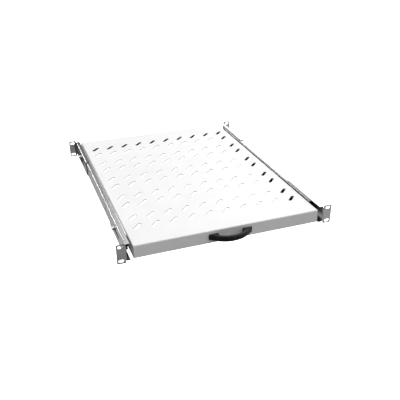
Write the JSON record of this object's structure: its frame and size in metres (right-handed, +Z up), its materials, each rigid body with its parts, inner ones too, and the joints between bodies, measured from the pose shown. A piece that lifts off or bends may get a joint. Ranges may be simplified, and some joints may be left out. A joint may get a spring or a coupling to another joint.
{
  "type": "sliding rack shelf",
  "caption": "Flat pull-out rack shelf: vented sheet tray with a bow handle on telescopic ball slides, held in a rack by slotted ear brackets at each corner.",
  "frame": {"origin": "middle of the four front ear slots, on the ears' front face", "axes": "+X to the right seen from the front, +Y to the rear of the rack, +Z up"},
  "size_m": [0.4826, 0.5984, 0.044],
  "materials": {
    "tray_paint": "light grey powder coat, fine texture",
    "bracket_paint": "silver grey powder coat, fine texture",
    "slide_zinc": "bright zinc plate",
    "cage_steel": "plain strip steel",
    "ball_steel": "polished bearing steel",
    "nut_zinc": "bright zinc plate",
    "handle_plastic": "black moulded plastic, fine texture",
    "bumper_rubber": "black rubber"
  },
  "bodies": {
    "frame": {"bracket_front_left": "bracket_paint", "bracket_front_right": "bracket_paint", "bracket_rear_left": "bracket_paint", "bracket_rear_right": "bracket_paint", "slide_outer_left": "slide_zinc", "slide_outer_right": "slide_zinc", "closing_bumper_left": "bumper_rubber", "closing_bumper_right": "bumper_rubber", "bracket_nut_front_left": "nut_zinc", "bracket_nut_front_right": "nut_zinc", "bracket_nut_rear_left": "nut_zinc", "bracket_nut_rear_right": "nut_zinc"},
    "tray": {"shelf_tray": "tray_paint", "handle": "handle_plastic", "slide_inner_left": "slide_zinc", "slide_inner_right": "slide_zinc"},
    "middle_left": {"slide_middle_left": "slide_zinc"},
    "outer_cage_left": {"ball_cage_outer_left": "cage_steel", "balls_outer_left": "ball_steel"},
    "inner_cage_left": {"ball_cage_inner_left": "cage_steel", "balls_inner_left": "ball_steel"},
    "middle_right": {"slide_middle_right": "slide_zinc"},
    "outer_cage_right": {"ball_cage_outer_right": "cage_steel", "balls_outer_right": "ball_steel"},
    "inner_cage_right": {"ball_cage_inner_right": "cage_steel", "balls_inner_right": "ball_steel"}
  },
  "joints": [
    {"name": "tray_slide", "type": "slide", "parent": "frame", "child": "tray", "axis": [0, -1, 0], "range_m": [0, 0.5]},
    {"name": "middle_left_slide", "type": "slide", "parent": "frame", "child": "middle_left", "axis": [0, -1, 0], "range_m": [0, 0.25]},
    {"name": "outer_cage_left_slide", "type": "slide", "parent": "frame", "child": "outer_cage_left", "axis": [0, -1, 0], "range_m": [0, 0.125]},
    {"name": "inner_cage_left_slide", "type": "slide", "parent": "frame", "child": "inner_cage_left", "axis": [0, -1, 0], "range_m": [0, 0.375]},
    {"name": "middle_right_slide", "type": "slide", "parent": "frame", "child": "middle_right", "axis": [0, -1, 0], "range_m": [0, 0.25]},
    {"name": "outer_cage_right_slide", "type": "slide", "parent": "frame", "child": "outer_cage_right", "axis": [0, -1, 0], "range_m": [0, 0.125]},
    {"name": "inner_cage_right_slide", "type": "slide", "parent": "frame", "child": "inner_cage_right", "axis": [0, -1, 0], "range_m": [0, 0.375]}
  ],
  "couplings": [
    {"joint": "middle_left_slide", "follows": "tray_slide", "ratio": 0.5},
    {"joint": "outer_cage_left_slide", "follows": "tray_slide", "ratio": 0.25},
    {"joint": "inner_cage_left_slide", "follows": "tray_slide", "ratio": 0.75},
    {"joint": "middle_right_slide", "follows": "tray_slide", "ratio": 0.5},
    {"joint": "outer_cage_right_slide", "follows": "tray_slide", "ratio": 0.25},
    {"joint": "inner_cage_right_slide", "follows": "tray_slide", "ratio": 0.75}
  ]
}
